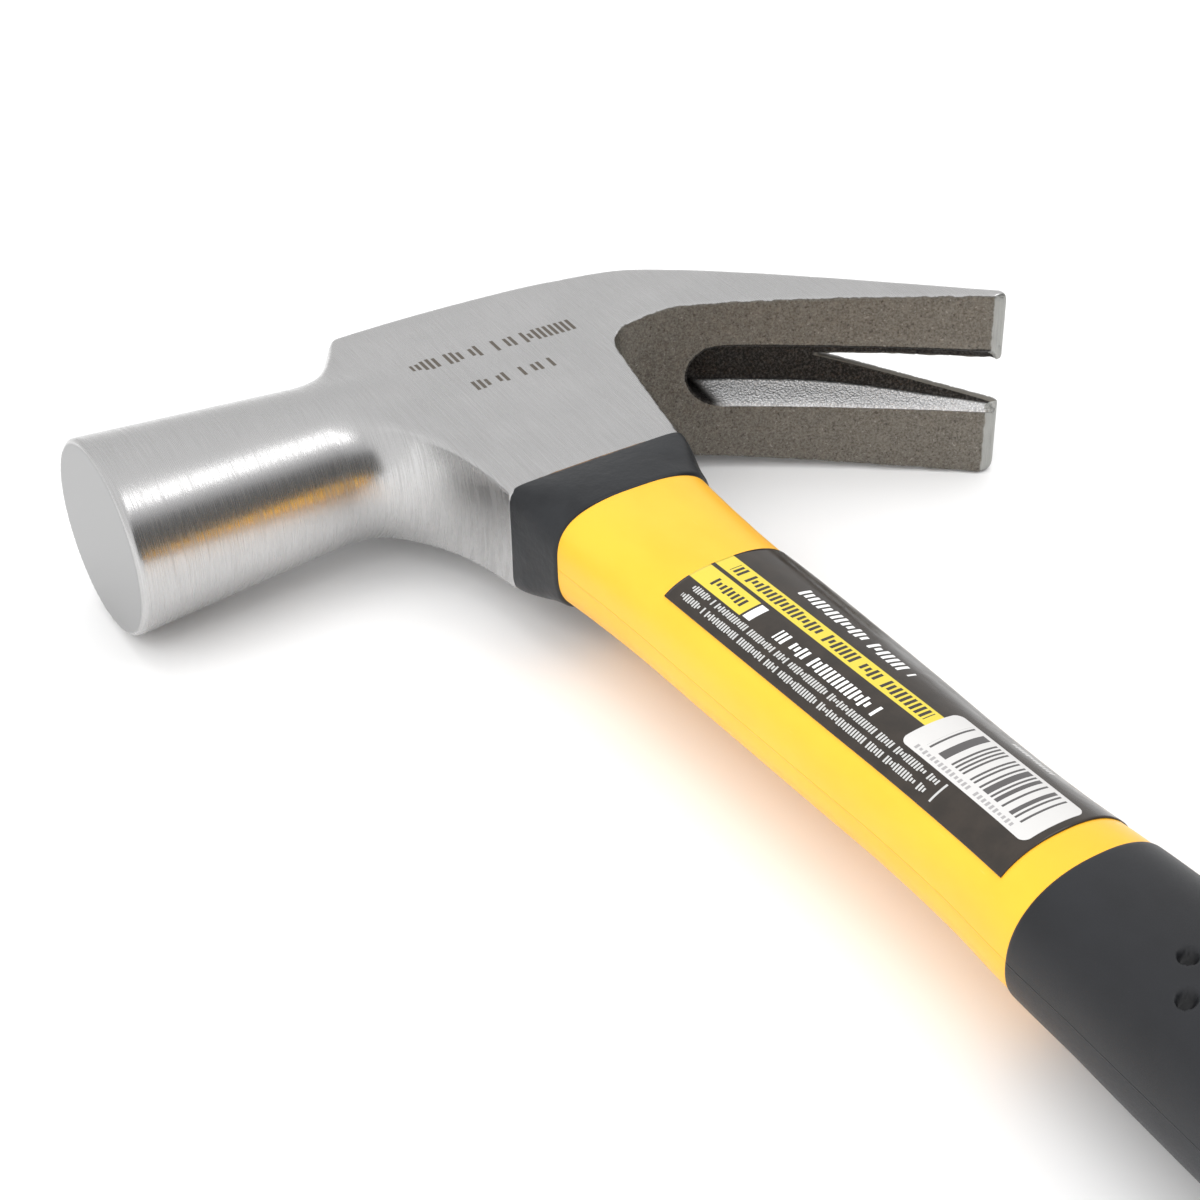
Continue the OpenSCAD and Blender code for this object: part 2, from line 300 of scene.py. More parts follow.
def flare_distance(x, rho):
    """Front of the cheeks, which leans out to a fillet round the poll."""
    reach = 0
    steep = 0
    for most, steepest, radius, falloff in (FLARE, FILLET):
        share = np.exp(-(rho - radius) / falloff)
        reach = reach + most * share
        steep = steep + steepest * share
    return (FLARE_X - reach - x) / np.sqrt(1 + steep**2)


def eye_distance(x, y, z):
    """Eye that widens towards the crown."""
    rise = (y - NECK_Y) / (HEAD_HIGH[1] - NECK_Y)
    along = np.abs(x - HANDLE_X) - (EYE_HALF[0] + EYE_FLARE[0] * rise - EYE_CORNER)
    across = np.abs(z) - (EYE_HALF[1] + EYE_FLARE[1] * rise - EYE_CORNER)
    eye = np.hypot(np.maximum(along, 0), np.maximum(across, 0))
    return eye + np.minimum(np.maximum(along, across), 0) - EYE_CORNER


def head_parts(x, y, z):
    """Signed distances of the head's surfaces from points, in millimetres."""
    rho = np.hypot(y, z)
    outer = outline_distance(x, y, OUTER_LINE)
    inner = outline_distance(x, y, INNER_LINE)
    tip = (x - TIP_POINT[0]) * math.cos(TIP_ANGLE) + (y - TIP_POINT[1]) * math.sin(TIP_ANGLE)
    depth = np.maximum(-inner, 0)
    width = CHANNEL_HALF - CHANNEL_DRAFT * depth
    before = np.maximum(CHANNEL_ROUND_X - x, 0)
    web = WEB_THIN + WEB_EXTRA * (1 - ramp(WEB_FROM_X, WEB_TO_X, x))
    middle = CHANNEL_Z + SLOT_RISE - SLOT_TILT * (x - SLOT_X)
    slot = (np.abs(z - middle) - SLOT_SPREAD * (x - SLOT_X)) / math.hypot(1, SLOT_SPREAD)
    return {
        "outer": outer,
        "inner": inner,
        "side": np.abs(z) - half_thickness(x, y),
        "poll": poll_distance(x, rho),
        "flare": flare_distance(x, rho),
        "tip": tip,
        "wall": np.hypot(before, z - CHANNEL_Z) - width,
        "floor": smooth_max(web + outer, depth - CHANNEL_DEPTH, CHANNEL_CORNER),
        "slot": slot,
        "eye": eye_distance(x, y, z),
    }


def head_distance(x, y, z):
    """Signed distance of the forged head, below zero in the steel."""
    part = head_parts(x, y, z)
    body = smooth_max(part["outer"], part["side"], CHEEK_EDGE)
    body = smooth_max(body, part["flare"], FLARE_EDGE)
    body = smooth_max(body, part["inner"], INNER_EDGE)
    body = smooth_max(body, part["tip"], TIP_EDGE)
    head = smooth_min(body, part["poll"], POLL_FILLET)
    channel = smooth_max(part["wall"], part["floor"], CHANNEL_CORNER)
    head = smooth_max(head, -channel, CHANNEL_EDGE)
    head = smooth_max(head, -part["slot"], SLOT_EDGE)
    return smooth_max(head, -part["eye"], EYE_EDGE)


def surface_net(field, start, step):
    """Points and quads of the surface where a field on a grid crosses zero."""
    inside = field < 0
    cells = tuple(n - 1 for n in field.shape)
    crossings = np.zeros(cells)
    total = np.zeros(cells + (3,))
    for axis in range(3):
        sides = [a for a in range(3) if a != axis]
        a = np.moveaxis(field, axis, 0)[:-1]
        b = np.moveaxis(field, axis, 0)[1:]
        change = (a < 0) != (b < 0)
        share = np.where(change, a / np.where(a == b, 1, a - b), 0)
        change = np.moveaxis(change, 0, axis)
        share = np.moveaxis(share, 0, axis)
        for du in (0, 1):
            for dv in (0, 1):
                window = [slice(None)] * 3
                window[sides[0]] = slice(du, du + cells[sides[0]])
                window[sides[1]] = slice(dv, dv + cells[sides[1]])
                found = change[tuple(window)]
                crossings += found
                total[..., axis] += share[tuple(window)]
                total[..., sides[0]] += found * du
                total[..., sides[1]] += found * dv
    used = crossings > 0
    index = np.full(cells, -1)
    index[used] = np.arange(used.sum())
    corner = np.argwhere(used)
    points = np.array(start) + step * (corner + total[used] / crossings[used][:, None])
    quads = []
    for axis in range(3):
        order = (axis, (axis + 1) % 3, (axis + 2) % 3)
        low = np.transpose(inside, order)
        ids = np.transpose(index, order)
        i, j, k = np.nonzero((low[:-1] != low[1:])[:, 1:-1, 1:-1])
        j, k = j + 1, k + 1
        ring = (ids[i, j - 1, k - 1], ids[i, j, k - 1], ids[i, j, k], ids[i, j - 1, k])
        quad = np.stack(ring, axis=1)
        backwards = ~low[i, j, k]
        quad[backwards] = quad[backwards][:, ::-1]
        quads.append(quad)
    return points, np.vstack(quads)


def head_slope(points):
    """Gradient of the head's distance at points."""
    slope = np.empty_like(points)
    for axis in range(3):
        shift = np.zeros(3)
        shift[axis] = SLOPE_GAP
        ahead = head_distance(*(points + shift).T)
        behind = head_distance(*(points - shift).T)
        slope[:, axis] = (ahead - behind) / (2 * SLOPE_GAP)
    return slope


def head_surface():
    """Points on the head's surface, their outward directions and quads."""
    low = HEAD_LOW - 3 * STEP
    high = HEAD_HIGH + 3 * STEP
    x, y, z = [np.arange(low[a], high[a] + STEP, STEP) for a in range(3)]
    field = head_distance(x[:, None, None], y[None, :, None], z[None, None, :])
    points, quads = surface_net(field, (x[0], y[0], z[0]), STEP)
    for _ in range(NEWTON_ROUNDS):
        slope = head_slope(points)
        error = head_distance(*points.T) / np.maximum((slope**2).sum(1), LEAST_SLOPE)
        points -= np.clip(error, -STEP / 2, STEP / 2)[:, None] * slope
    slope = head_slope(points)
    return points, slope / np.linalg.norm(slope, axis=1, keepdims=True), quads


def head_zones(x, y, part):
    """Fields above zero on the forged underside, the channel, its walls, the slot, the tips."""
    skin = np.maximum(part["side"], part["outer"])
    outside = np.maximum(part["inner"], skin)
    channel = smooth_max(part["wall"], part["floor"], CHANNEL_CORNER)
    facing = part["inner"] - skin
    under = np.where(x > UNDER_X, facing, -FIELD_LIMIT)
    under = np.minimum(under, (y - UNDER_LOW_Y) * UNDER_LOW_RATE)
    in_channel = (channel > -CUT_REACH) & (x > CUT_X)
    open_slot = -np.maximum(outside, -channel) - part["slot"]
    return {
        "under": np.where(x > CLAW_X, facing, under),
        "cut": np.where(in_channel, -outside - np.abs(channel), -FIELD_LIMIT),
        "wall": part["wall"] - part["floor"],
        "slot": np.where(x > SLOT_X - 1, open_slot, -FIELD_LIMIT),
        "tip": part["tip"] - np.maximum(outside, -part["slot"]),
    }


def head_roughness(points, part, zones):
    """How far each point moves out: forged lumps, and chips along the forged edges."""
    x = points[:, 0]
    forged = ramp(FORGED_FROM, FORGED_TO, np.maximum(zones["under"], zones["cut"]))
    lumps = sum(lattice_noise(points, cell, seed) * high for cell, seed, high in FORGED_LUMPS)
    chips = np.minimum(lattice_noise(points, CHIP_CELL, CHIP_SEED) + CHIP_SHARE, 0) * CHIP_DEPTH
    skin = np.maximum(part["side"], part["outer"])
    edge = np.exp(-(((part["inner"] - skin) / CHIP_REACH) ** 2)) * (x > CHIP_EDGE_X)
    mouth = np.exp(-(((part["wall"] - part["inner"]) / CHIP_REACH) ** 2)) * (x > CHIP_MOUTH_X)
    return forged * lumps + np.maximum(edge, mouth) * chips


def build_head(material):
    points, outward, quads = head_surface()
    part = head_parts(*points.T)
    zones = head_zones(points[:, 0], points[:, 1], part)
    points += outward * head_roughness(points, part, zones)[:, None]
    points = np.clip(points, HEAD_LOW, HEAD_HIGH)
    piece = make_object("hammer_head", points, quads.tolist(), material)
    for name, values in zones.items():
        add_field(piece, name, np.clip(values, -FIELD_LIMIT, FIELD_LIMIT))
    return piece


# ---------------------------------------------------------------- handle shapes
JACKET = [
    # height, half width, half thickness, squareness
    (COLLAR_Y + 4, 12.75, 8.65, 3.4),
    (COLLAR_Y, 12.6, 8.6, 3.1),
    (-55, 11.9, 8.6, 2.7),
    (-75, 11.5, 8.8, 2.45),
    (-95, 11.0, 8.85, 2.35),
    (-110, 10.6, 8.9, 2.3),
    (-122, 10.8, 9.1, 2.3),
    (GRIP_Y, 11.6, 9.6, 2.3),
    (GRIP_Y - 6, 11.6, 9.6, 2.3),
]
GRIP = [
    (GRIP_Y, 11.6, 9.6, 2.3),
    (GRIP_Y - 20, 12.6, 10.8, 2.3),
    (-200, 14.3, 12.1, 2.3),
    (-230, 14.9, 12.5, 2.3),
    (BUTT_Y + 34, 13.4, 11.1, 2.3),
    (BUTT_Y + 14, 15.9, 13.4, 2.35),
    (BUTT_Y + 7, 17.3, 14.8, 2.4),
    (BUTT_Y, 16.8, 14.4, 2.4),
]
# Collar: squarer at the neck, with a small rim there and a lip over the jacket
COLLAR = [
    (NECK_Y, NECK_W / 2 + 0.6, 8.55, 14),
    (NECK_Y - 2, NECK_W / 2 + 0.45, 8.7, 9),
    (NECK_Y - 6, 13.4, 8.85, 4.4),
    (COLLAR_Y, 12.85, 8.85, 3.3),
]
COLLAR_RIM = 0.5
COLLAR_LIP = 0.8
COLLAR_BELLY = 0.12
COLLAR_CAP = 1.2
COLLAR_FOOT = 1.8
COLLAR_WAVE_CELL = 5.0
COLLAR_WAVE_SEED = 8
COLLAR_WAVE_FROM = 3.5
COLLAR_WAVE = 0.22

# Grip: rims at its ends and round dimples on its two faces
GRIP_RIM = 0.5
GRIP_LIP = 0.2
GRIP_CAP = 1.5
GRIP_INSET = 0.3
RIM_R = 2.2
DIMPLE_R = 1.15
DIMPLE_SOFT = (1.1, 0.7)
DIMPLE_DEPTH = 1.2
DIMPLE_PITCH = 3.8
DIMPLE_TOP = -151.1
DIMPLE_ROWS = 34
DIMPLE_OFFSETS = ((-3.3, 3.3), (-6.95, 0, 6.95))
DIMPLE_END = DIMPLE_TOP - DIMPLE_ROWS * DIMPLE_PITCH
DIMPLE_REACH = 9
DIMPLE_SPACING = 0.3
DIMPLE_HALF_WIDTH = 13

# Label: its edges round the jacket, its film and the lift of its claw-side edge
LABEL_LEFT = math.radians(137)
LABEL_RIGHT = math.radians(30)
LABEL_EDGE = -9.5
LABEL_ROWS = 133
LABEL_COLUMNS = 81
FILM_UNDER = 0.03
FILM_OVER = 0.16
CURL_HEIGHT = 0.4
CURL_ANGLE = 0.4
CURL_POWER = 0.6

# Squeezed-out resin round the neck
RESIN_INSET = 0.05
RESIN_HALF = 8.15
RESIN_SQUARE = 9
RESIN_POINTS = 420
RESIN_AROUND = 8
RESIN_R = 0.16


def sections(heights, stations):
    """Half width, half thickness and squareness at each height, on smooth curves."""
    rows = np.array(stations, float)[::-1]
    y, values = rows[:, 0], rows[:, 1:]
    slopes = np.gradient(values, y, axis=0)
    i = np.clip(np.searchsorted(y, heights) - 1, 0, len(y) - 2)
    d = (y[i + 1] - y[i])[:, None]
    t = np.clip((heights - y[i])[:, None] / d, 0, 1)
    return (
        (2 * t**3 - 3 * t**2 + 1) * values[i] + (t**3 - 2 * t**2 + t) * d * slopes[i]
        + (3 * t**2 - 2 * t**3) * values[i + 1] + (t**3 - t**2) * d * slopes[i + 1]
    )


def rings(heights, stations, angles, grow=0):
    """Points of superellipse rings round the handle: (height, angle, XYZ)."""
    half = sections(heights, stations)
    grow = np.asarray(grow, float) * np.ones(len(heights))
    power = 2 / half[:, 2:3]
    c, s = np.cos(angles)[None], np.sin(angles)[None]
    x = HANDLE_X + (half[:, 0:1] + grow[:, None]) * np.sign(c) * np.abs(c) ** power
    z = (half[:, 1:2] + grow[:, None]) * np.sign(s) * np.abs(s) ** power
    y = np.repeat(np.asarray(heights, float)[:, None], len(angles), axis=1)
    return np.stack([x, y, z], axis=2)


def tube(name, points, material):
    """Closed solid through rings of points."""
    rows, columns = points.shape[:2]
    ends = [points[0].mean(0), points[-1].mean(0)]
    vertices = np.vstack([points.reshape(-1, 3), ends])
    return make_object(name, vertices, tube_faces(rows, columns), material)


def round_angles(count):
    return np.linspace(0, 2 * math.pi, count, endpoint=False)


def build_jacket(material):
    heights = np.arange(COLLAR_Y + 3, GRIP_Y - 4, -0.7)
    return tube("jacket", rings(heights, JACKET, round_angles(160)), material)


def quarter_turn(steps):
    """Angles of a quarter turn, for a rounded rim."""
    return np.linspace(0, math.pi / 2, steps + 1)


def build_collar(material):
    """Collar with an uneven lip, as moulded over the jacket."""
    turn = quarter_turn(8)
    share = np.arange(1, 30) / 30
    height = NECK_Y - COLLAR_Y - COLLAR_RIM - COLLAR_LIP
    heights = np.concatenate([
        [NECK_Y],
        NECK_Y - COLLAR_RIM * (1 - np.cos(turn)),
        NECK_Y - COLLAR_RIM - height * share,
        COLLAR_Y + COLLAR_LIP * (1 - np.sin(turn)),
        [COLLAR_Y],
    ])
    grows = np.concatenate([
        [-COLLAR_CAP],
        COLLAR_RIM * (np.sin(turn) - 1),
        COLLAR_BELLY * np.sin(math.pi * share),
        COLLAR_LIP * (np.cos(turn) - 1),
        [-COLLAR_FOOT],
    ])
    points = rings(heights, COLLAR, round_angles(200), grows)
    flat = points.reshape(-1, 3)
    wave = lattice_noise(flat, COLLAR_WAVE_CELL, COLLAR_WAVE_SEED).reshape(points.shape[:2])
    lip = ramp(COLLAR_Y + COLLAR_WAVE_FROM, COLLAR_Y, points[..., 1])
    points[..., 1] += wave * lip * COLLAR_WAVE
    return tube("collar", points, material)


def grip_angles():
    """Angles closer together on the two faces, where the dimples are."""
    places = np.arange(-DIMPLE_REACH, DIMPLE_REACH, DIMPLE_SPACING)
    face = np.sort(np.arccos(places / DIMPLE_HALF_WIDTH))
    side = np.linspace(-face[0], face[0], 22, endpoint=False)[1:]
    return np.concatenate([side, face, side + math.pi, face + math.pi])


def dimple_depth(points):
    """0 on the grip's plain surface, 1 at the bottom of a dimple."""
    depth = np.zeros(points.shape[:2])
    wide, narrow = DIMPLE_SOFT
    for row in range(DIMPLE_ROWS):
        y = DIMPLE_TOP - row * DIMPLE_PITCH
        for offset in DIMPLE_OFFSETS[row % 2]:
            away = np.hypot(points[..., 0] - HANDLE_X - offset, points[..., 1] - y)
            depth = np.maximum(depth, ramp(DIMPLE_R * wide, DIMPLE_R * narrow, away))
    return depth


def build_grip(material):
    front = quarter_turn(4)
    body = np.concatenate([
        np.arange(GRIP_Y - 1, DIMPLE_TOP + 2, -0.9),
        np.arange(DIMPLE_TOP + 2, DIMPLE_END + 2, -0.34),
        np.arange(DIMPLE_END + 2, BUTT_Y + RIM_R, -0.8),
    ])
    butt = quarter_turn(8)
    heights = np.concatenate([
        [GRIP_Y],
        GRIP_Y - GRIP_RIM * (1 - np.cos(front)),
        body,
        BUTT_Y + RIM_R * (1 - np.sin(butt)),
    ])
    grows = np.concatenate([
        [-GRIP_CAP],
        GRIP_RIM * np.sin(front) - GRIP_INSET,
        GRIP_LIP * ramp(GRIP_Y - 12, GRIP_Y - 1, body),
        RIM_R * (np.cos(butt) - 1),
    ])
    points = rings(heights, GRIP, grip_angles(), grows)
    depth = dimple_depth(points)
    points[..., 2] -= np.sign(points[..., 2]) * depth * DIMPLE_DEPTH
    piece = tube("grip", points, material)
    add_field(piece, "dimple", np.append(depth.reshape(-1), (0, 0)))
    return piece


def sheet_faces(rows, columns):
    """Quads of a thin sheet: its upper layer, its lower layer and its four edges."""
    layer = rows * columns
    faces = []
    for i in range(rows - 1):
        for k in range(columns - 1):
            a = i * columns + k
            b = a + columns
            faces.append((a, b, b + 1, a + 1))
            faces.append((layer + a, layer + a + 1, layer + b + 1, layer + b))
        a = i * columns
        b = a + columns
        faces.append((a, layer + a, layer + b, b))
        a += columns - 1
        b += columns - 1
        faces.append((a, b, layer + b, layer + a))
    for k in range(columns - 1):
        b = (rows - 1) * columns + k
        faces.append((k, k + 1, layer + k + 1, layer + k))
        faces.append((b, layer + b, layer + b + 1, b + 1))
    return faces


def build_label(material):
    """Printed film wrapped over the jacket, with its claw-side edge lifting a little."""
    heights = np.linspace(LABEL_TOP, LABEL_END, LABEL_ROWS)
    angles = np.linspace(LABEL_LEFT, LABEL_RIGHT, LABEL_COLUMNS)
    under = rings(heights, JACKET, angles, FILM_UNDER)
    over = rings(heights, JACKET, angles, FILM_OVER)
    across = np.zeros((LABEL_ROWS, LABEL_COLUMNS))
    across[:, 1:] = np.cumsum(np.linalg.norm(np.diff(over, axis=1), axis=2), axis=1)
    across += LABEL_EDGE
    middle = np.sin(np.linspace(0, math.pi, LABEL_ROWS))[:, None] ** CURL_POWER
    curl = ramp(LABEL_RIGHT + CURL_ANGLE, LABEL_RIGHT, angles)[None] ** 2 * middle * CURL_HEIGHT
    outward = over * (1, 0, 1) - (HANDLE_X, 0, 0)
    outward /= np.linalg.norm(outward, axis=2, keepdims=True)
    under += outward * curl[..., None]
    over += outward * curl[..., None]
    vertices = np.vstack([over.reshape(-1, 3), under.reshape(-1, 3)])
    piece = make_object("printed_label", vertices, sheet_faces(LABEL_ROWS, LABEL_COLUMNS), material)
    add_field(piece, "across", np.tile(across.reshape(-1), 2))
    return piece


def build_squeeze_out(material):
    """Thin uneven line of resin in the joint between the neck and the collar."""
    half = NECK_W / 2 - RESIN_INSET
    station = [(NECK_Y + side, half, RESIN_HALF, RESIN_SQUARE) for side in (1, -1)]
    path = rings(np.array([float(NECK_Y)]), station, round_angles(RESIN_POINTS))[0]
    noise = lattice_noise(path, 2.4, 11) + 0.5 * lattice_noise(path, 0.8, 12)
    radius = RESIN_R + RESIN_R * np.clip(noise + 0.2, 0, 1)
    out = path - (HANDLE_X, NECK_Y, 0)
    out /= np.linalg.norm(out, axis=1, keepdims=True)
    up = np.array([0, 1, 0])
    rows = []
    for turn in round_angles(RESIN_AROUND):
        sideways = out * (radius * math.cos(turn))[:, None]
        rows.append(path + sideways + up * (radius * math.sin(turn))[:, None])
    vertices = np.stack(rows, axis=1).reshape(-1, 3)
    faces = []
    for i in range(RESIN_POINTS):
        here = i * RESIN_AROUND
        there = (i + 1) % RESIN_POINTS * RESIN_AROUND
        for k in range(RESIN_AROUND):
            after = (k + 1) % RESIN_AROUND
            faces.append((here + k, here + after, there + after, there + k))
    return make_object("resin_line", vertices, faces, material)


# ---------------------------------------------------------------- material tools
NOISE_MIDDLE = (0.3, 0.7)
# Strokes: bare share of a pitch, chance of leaving one out, chance from which it is full
STROKE_GAP = 0.42
STROKE_SKIP = 0.12
STROKE_FULL = 0.55


class Nodes:
    """A node tree: helpers that add nodes and return their outputs."""

    def __init__(self, owner):
        owner.use_nodes = True
        self.tree = owner.node_tree

    def node(self, kind, **settings):
        made = self.tree.nodes.new(kind)
        for key, value in settings.items():
            setattr(made, key, value)
        return made

    def link(self, source, target):
        self.tree.links.new(source, target)

    def put(self, value, target):
        """Links an output to a socket, or sets the socket to a constant."""
        if isinstance(value, bpy.types.NodeSocket):
            self.link(value, target)
        elif isinstance(value, tuple) and len(value) == 3 and target.type == "RGBA":
            target.default_value = (*value, 1)
        else:
            target.default_value = value

    def math(self, operation, *values):
        made = self.node("ShaderNodeMath", operation=operation)
        for value, target in zip(values, made.inputs):
            self.put(value, target)
        return made.outputs[0]

    def span(self, value, low, high, to_low=0.0, to_high=1.0):
        """value from low to high, turned smoothly into to_low to to_high."""
        made = self.node("ShaderNodeMapRange", interpolation_type="SMOOTHSTEP")
        for item, target in zip((value, low, high, to_low, to_high), made.inputs):
            self.put(item, target)
        return made.outputs[0]

    def inverse(self, share):
        return self.math("SUBTRACT", 1.0, share)

    def product(self, *values):
        result = values[0]
        for value in values[1:]:
            result = self.math("MULTIPLY", result, value)
        return result

    def mix(self, share, a, b):
        made = self.node("ShaderNodeMix", data_type="RGBA")
        self.put(share, made.inputs[0])
        self.put(a, made.inputs[6])
        self.put(b, made.inputs[7])
        return made.outputs[2]

    def blend(self, share, a, b):
        made = self.node("ShaderNodeMix", data_type="FLOAT")
        self.put(share, made.inputs[0])
        self.put(a, made.inputs[2])
        self.put(b, made.inputs[3])
        return made.outputs[0]


class Shader(Nodes):
    """A material, with helpers in working millimetres."""

    def __init__(self, name):
        self.material = bpy.data.materials.new(name)
        super().__init__(self.material)
        self.surface = self.tree.nodes["Principled BSDF"]
        place = self.node("ShaderNodeTexCoord").outputs["Object"]
        shift = self.node("ShaderNodeVectorMath", operation="SUBTRACT")
        self.link(place, shift.inputs[0])
        shift.inputs[1].default_value = ORIGIN
        scale = self.node("ShaderNodeVectorMath", operation="SCALE")
        self.link(shift.outputs[0], scale.inputs[0])
        scale.inputs["Scale"].default_value = 1 / MM
        self.place = scale.outputs[0]
        split = self.node("ShaderNodeSeparateXYZ")
        self.link(self.place, split.inputs[0])
        self.x, self.y, self.z = split.outputs

    def spread(self, noise, to_low=0.0, to_high=1.0):
        """The middle of a noise's range, turned into to_low to to_high."""
        return self.span(noise, *NOISE_MIDDLE, to_low, to_high)

    def band(self, value, low, high, soft):
        """1 where value is between low and high."""
        rising = self.span(value, low - soft, low + soft)
        falling = self.span(value, high - soft, high + soft)
        return self.product(rising, self.inverse(falling))

    def within(self, value, centre, half):
        """1 where value is less than half away from centre."""
        away = self.math("ABSOLUTE", self.math("SUBTRACT", value, centre))
        return self.math("LESS_THAN", away, half)

    def marks(self, run, side, centre, half, low, high, pitch):
        """A row of plain strokes of uneven height in place of lettering."""
        place = self.math("DIVIDE", run, pitch)
        cells = self.node("ShaderNodeTexWhiteNoise", noise_dimensions="1D")
        self.link(self.math("FLOOR", place), cells.inputs["W"])
        chance = cells.outputs["Value"]
        height = self.span(chance, STROKE_SKIP, STROKE_FULL, half / 2, half)
        return self.product(
            self.math("GREATER_THAN", self.math("FRACT", place), STROKE_GAP),
            self.math("GREATER_THAN", chance, STROKE_SKIP),
            self.within(side, centre, height),
            self.within(run, (low + high) / 2, (high - low) / 2),
        )

    def stretched(self, x, y, z):
        """Working coordinates in millimetres, divided by a grain's length along each axis."""
        made = self.node("ShaderNodeVectorMath", operation="DIVIDE")
        self.link(self.place, made.inputs[0])
        made.inputs[1].default_value = (x, y, z)
        return made.outputs[0]

    def noise(self, vector, detail=3.0, rough=0.55):
        made = self.node("ShaderNodeTexNoise")
        self.link(vector, made.inputs["Vector"])
        made.inputs["Scale"].default_value = 1
        made.inputs["Detail"].default_value = detail
        made.inputs["Roughness"].default_value = rough
        return made.outputs["Fac"]

    def voronoi(self, vector):
        made = self.node("ShaderNodeTexVoronoi", feature="F1")
        self.link(vector, made.inputs["Vector"])
        made.inputs["Scale"].default_value = 1
        return made.outputs["Distance"]

    def attribute(self, name):
        return self.node("ShaderNodeAttribute", attribute_name=name).outputs["Fac"]

    def tinted(self, colour, share, amount, tint):
        """colour with up to amount of a tint, where share is 1."""
        return self.mix(self.product(share, amount), colour, tint)

    def bump(self, height, depth, before=None):
        """Bump of a height field, depth millimetres from its lowest to its highest."""
        made = self.node("ShaderNodeBump")
        made.inputs["Strength"].default_value = 1
        made.inputs["Distance"].default_value = depth * MM
        self.put(height, made.inputs["Height"])
        if before is not None:
            self.link(before, made.inputs["Normal"])
        return made.outputs[0]

    def finish(self, **sockets):
        for name, value in sockets.items():
            self.put(value, self.surface.inputs[name.replace("_", " ")])
        return self.material


# ---------------------------------------------------------------- materials
# Colours; a pair is for the low and the high end of a noise
BRUSHED = ((0.53, 0.527, 0.527), (0.565, 0.56, 0.56))
BRUSH_LINE = (0.42, 0.415, 0.41)
FORGED = ((0.145, 0.133, 0.114), (0.265, 0.247, 0.216))
FORGED_PIT = (0.29, 0.27, 0.24)
DARK_SPECK = (0.07, 0.062, 0.054)
PALE_SPECK = (0.45, 0.43, 0.40)
# Channel floor colours: the forged steel's dark tone, darkened further as painted shade of the
# recess
CUT_FLOOR_SHADE = ((0.03, 0.028, 0.026), (0.10, 0.092, 0.085))
# Sheared wall colours: bright bare metal, its white spots painted glints of lit facets
SHEARED_GLINT = ((1.0, 1.0, 1.0), (0.72, 0.72, 0.73))
NAIL_SLOT = (0.14, 0.13, 0.112)
GROUND_TIP = ((0.34, 0.34, 0.325), (0.42, 0.42, 0.40))
STRIKING_FACE = (0.39, 0.39, 0.39)
ETCHING = (0.15, 0.125, 0.095)
JACKET_YELLOW = ((0.97, 0.475, 0.025), (1.0, 0.51, 0.034))
JACKET_SCUFF = (1.0, 0.80, 0.30)
COLLAR_BLACK = ((0.010, 0.011, 0.013), (0.016, 0.0175, 0.020))
COLLAR_DUST = (0.09, 0.09, 0.09)
GRIP_BLACK = ((0.0105, 0.011, 0.013), (0.0155, 0.0165, 0.0195))
GRIP_DUST = (0.10, 0.10, 0.10)
# Painted shade inside the grip's dimples
DIMPLE_SHADE = (0.004, 0.004, 0.004)
RESIN_AMBER = ((0.06, 0.026, 0.009), (0.21, 0.105, 0.035))
STRANDS = ((0.62, 0.55, 0.34), (0.40, 0.35, 0.20))
STRAND_CLOUD = (0.72, 0.66, 0.45)
LABEL_GROUND = ((0.025, 0.020, 0.016), (0.035, 0.027, 0.021))
INK_YELLOW = (0.70, 0.56, 0.06)
INK_PALE = (0.52, 0.52, 0.51)
INK_WHITE = (0.88, 0.88, 0.87)
INK_BLACK = (0.035, 0.030, 0.025)
INK_GREY = (0.35, 0.34, 0.34)
PANEL_WHITE = (0.62, 0.61, 0.60)
BAR_BLACK = (0.09, 0.085, 0.085)
FLOOR_WHITE = ((0.86, 0.86, 0.86), (0.88, 0.88, 0.88))

# Sheared wall of the nail channel: where it starts, and its edge's softness
SHEAR_X = (95.5, 98.5)
SHEAR_SOFT = 0.5

# Etched strokes on the cheek: middle and half height across, from and to along, pitch
CHEEK_Z = (7.0, 8.0)
ETCHED_ROWS = ((3.2, 1.45, 50.5, 77.5), (-7.5, 1.2, 55.5, 70.0))
ETCHED_PITCH = 0.98
ETCHED_SLANT = 0.043


def steel_zones(s, pits):
    """Shares of the head's kinds of surface, with ragged edges where it was forged."""
    ragged = s.product(s.math("SUBTRACT", pits, 0.5), 1.1)
    under = s.span(s.math("ADD", s.attribute("under"), ragged), -0.12, 0.12)
    in_cut = s.span(s.attribute("cut"), -0.5, -0.3)
    wall = s.product(
        in_cut,
        s.span(s.attribute("wall"), -0.1, 0.5),
        s.span(s.x, *SHEAR_X),
        s.span(s.z, CHANNEL_Z + SHEAR_SOFT, CHANNEL_Z - SHEAR_SOFT),
    )
    tip = s.math("ADD", s.attribute("tip"), s.product(ragged, 0.5))
    return {
        "forged": s.math("MAXIMUM", under, in_cut),
        "floor": s.product(in_cut, s.inverse(wall)),
        "wall": wall,
        "slot": s.span(s.attribute("slot"), -0.35, -0.2),
        "tip": s.span(tip, -0.25, -0.05),
        "face": s.span(s.x, 0.12, 0.02),
    }


def forged_colour(s, scale, pits):
    speck = s.noise(s.stretched(0.5, 0.5, 0.5), 2.0, 0.4)
    colour = s.mix(s.spread(scale), *FORGED)
    colour = s.tinted(colour, s.span(pits, 0.5, 0.75), 0.4, FORGED_PIT)
    colour = s.tinted(colour, s.span(speck, 0.62, 0.72), 0.6, DARK_SPECK)
    return s.tinted(colour, s.span(speck, 0.33, 0.27), 0.5, PALE_SPECK)


